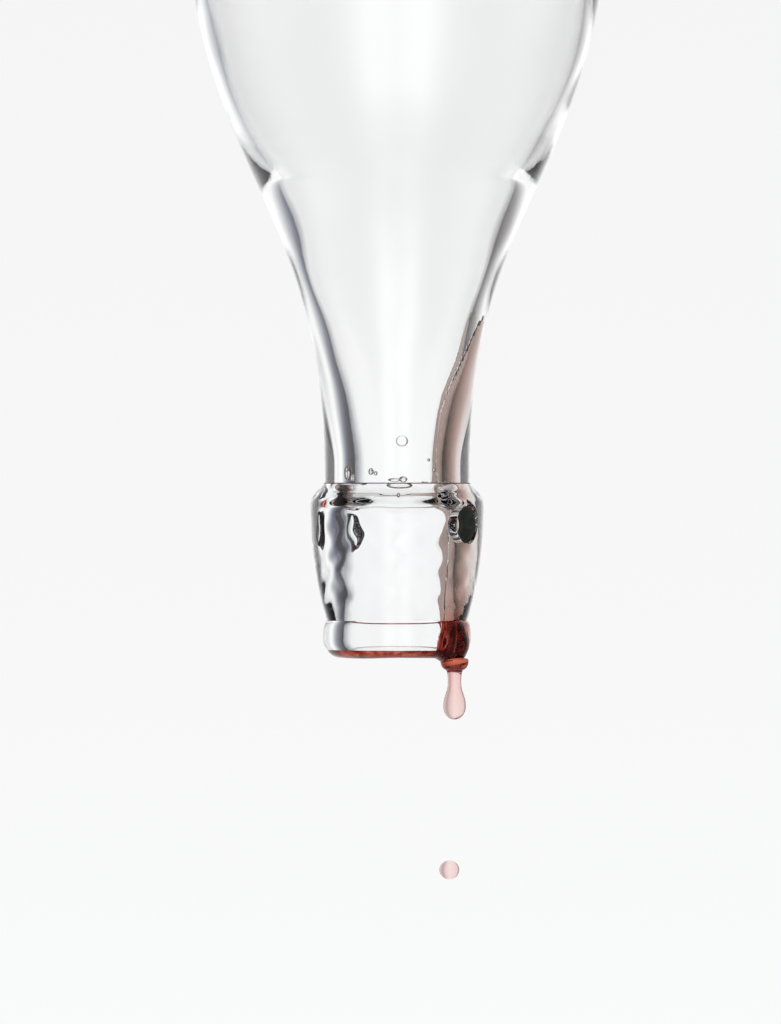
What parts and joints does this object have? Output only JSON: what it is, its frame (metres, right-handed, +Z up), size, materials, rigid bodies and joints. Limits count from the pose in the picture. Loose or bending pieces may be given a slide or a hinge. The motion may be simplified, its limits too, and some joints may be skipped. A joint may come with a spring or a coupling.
{
  "type": "swing-top glass bottle",
  "caption": "Clear glass bottle held neck down, its swing-top collar without the closure, with red liquid running out as a hanging drop and a free drop.",
  "frame": {"origin": "on the bottle's axis at the middle of its straight body, where a hand or clamp holds it, 220 mm above the lip", "axes": "+Z up along the bottle's axis, from the mouth below to the base above; +X to the side from which the drop hangs; -Y is the front"},
  "size_m": [0.078, 0.078, 0.3404],
  "materials": {
    "clear_glass": "fire-polished, slightly wavy",
    "finish_glass": "hand-tooled, with seed bubbles",
    "red_liquid": "wet",
    "thin_red_liquid": "wet"
  },
  "bodies": {
    "bottle": {"bottle_body": "clear_glass", "applied_collar": "finish_glass", "lip_bead": "finish_glass", "wall_rivulet": "red_liquid", "lip_film": "red_liquid", "pendant_drop": "red_liquid"},
    "drop": {"falling_drop": "thin_red_liquid"}
  },
  "joints": [
    {"name": "drop_fall", "type": "slide", "parent": "bottle", "child": "drop", "axis": [0, 0, -1], "range_m": [-0.025, 0.03]}
  ]
}
